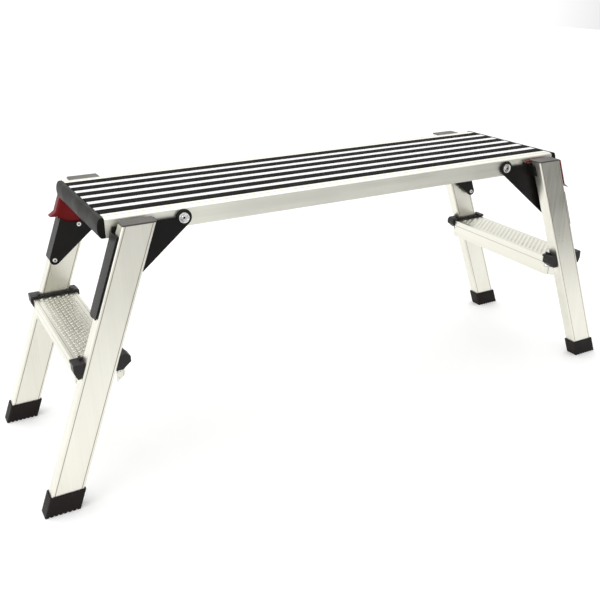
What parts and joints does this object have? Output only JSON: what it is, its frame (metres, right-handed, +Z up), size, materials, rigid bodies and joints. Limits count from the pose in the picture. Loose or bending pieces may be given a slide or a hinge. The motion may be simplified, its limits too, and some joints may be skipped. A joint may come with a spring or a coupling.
{
  "type": "folding work platform bench",
  "caption": "Low folding aluminium work platform with a ribbed grip deck, hinged splayed leg frames with mid-height steps, rubber feet and red lever locks.",
  "frame": {"origin": "on the ground, under the middle of the deck", "axes": "+X along the deck, +Y to its rear long side, +Z up; the front side is -Y"},
  "size_m": [1.3282, 0.39, 0.5006],
  "materials": {
    "deck_aluminium": "bright ribbed mill finish",
    "rail_aluminium": "satin extruded",
    "leg_aluminium": "satin extruded, fine lengthwise grain",
    "step_aluminium": "satin with a raised grip pattern",
    "grip_rubber": "matte ribbed black",
    "end_cap_black": "fine textured black",
    "leg_cap_grey": "fine textured grey",
    "foot_rubber": "matte black",
    "bracket_black": "semi-gloss black",
    "rivet_steel": "bright",
    "bolt_steel": "bright",
    "spring_steel": "plain",
    "collar_black": "fine textured black",
    "lever_red": "glossy red"
  },
  "bodies": {
    "platform": {"deck_panel": "deck_aluminium", "side_rail_front": "rail_aluminium", "side_rail_rear": "rail_aluminium", "grip_strip_1": "grip_rubber", "grip_strip_2": "grip_rubber", "grip_strip_3": "grip_rubber", "grip_strip_4": "grip_rubber", "grip_strip_5": "grip_rubber", "grip_strip_6": "grip_rubber", "end_cap_left": "end_cap_black", "end_cap_right": "end_cap_black", "pivot_bolt_left_front": "bolt_steel", "pivot_nut_left_front": "bolt_steel", "stop_pin_left_front": "bracket_black", "pivot_bolt_left_rear": "bolt_steel", "pivot_nut_left_rear": "bolt_steel", "stop_pin_left_rear": "bracket_black", "pivot_bolt_right_front": "bolt_steel", "pivot_nut_right_front": "bolt_steel", "stop_pin_right_front": "bracket_black", "pivot_bolt_right_rear": "bolt_steel", "pivot_nut_right_rear": "bolt_steel", "stop_pin_right_rear": "bracket_black"},
    "left_frame": {"leg_left_front": "leg_aluminium", "leg_cap_left_front": "leg_cap_grey", "foot_left_front": "foot_rubber", "hinge_bracket_left_front": "bracket_black", "rivet_upper_left_front": "rivet_steel", "rivet_lower_left_front": "rivet_steel", "step_collar_left_front": "collar_black", "leg_left_rear": "leg_aluminium", "leg_cap_left_rear": "leg_cap_grey", "foot_left_rear": "foot_rubber", "hinge_bracket_left_rear": "bracket_black", "rivet_upper_left_rear": "rivet_steel", "rivet_lower_left_rear": "rivet_steel", "step_collar_left_rear": "collar_black", "step_left": "step_aluminium", "lever_pin_left": "rivet_steel", "lever_spring_left": "spring_steel"},
    "right_frame": {"leg_right_front": "leg_aluminium", "leg_cap_right_front": "leg_cap_grey", "foot_right_front": "foot_rubber", "hinge_bracket_right_front": "bracket_black", "rivet_upper_right_front": "rivet_steel", "rivet_lower_right_front": "rivet_steel", "step_collar_right_front": "collar_black", "leg_right_rear": "leg_aluminium", "leg_cap_right_rear": "leg_cap_grey", "foot_right_rear": "foot_rubber", "hinge_bracket_right_rear": "bracket_black", "rivet_upper_right_rear": "rivet_steel", "rivet_lower_right_rear": "rivet_steel", "step_collar_right_rear": "collar_black", "step_right": "step_aluminium", "lever_pin_right": "rivet_steel", "lever_spring_right": "spring_steel"},
    "left_lever": {"lock_lever_left": "lever_red"},
    "right_lever": {"lock_lever_right": "lever_red"}
  },
  "joints": [
    {"name": "left_fold", "type": "hinge", "parent": "platform", "child": "left_frame", "pos_m": [-0.3605, 0, 0.4828], "axis": [0, -1, 0], "range_deg": [0, 110]},
    {"name": "right_fold", "type": "hinge", "parent": "platform", "child": "right_frame", "pos_m": [0.3605, 0, 0.4828], "axis": [0, 1, 0], "range_deg": [0, 90]},
    {"name": "left_lever_press", "type": "hinge", "parent": "left_frame", "child": "left_lever", "pos_m": [-0.4775, 0.1525, 0.4623], "axis": [0, -1, 0], "range_deg": [0, 8], "stiffness_Nm_per_rad": 0.25, "springref_deg": -17.19},
    {"name": "right_lever_press", "type": "hinge", "parent": "right_frame", "child": "right_lever", "pos_m": [0.4775, -0.1525, 0.4623], "axis": [0, 1, 0], "range_deg": [0, 8], "stiffness_Nm_per_rad": 0.25, "springref_deg": -17.19}
  ]
}
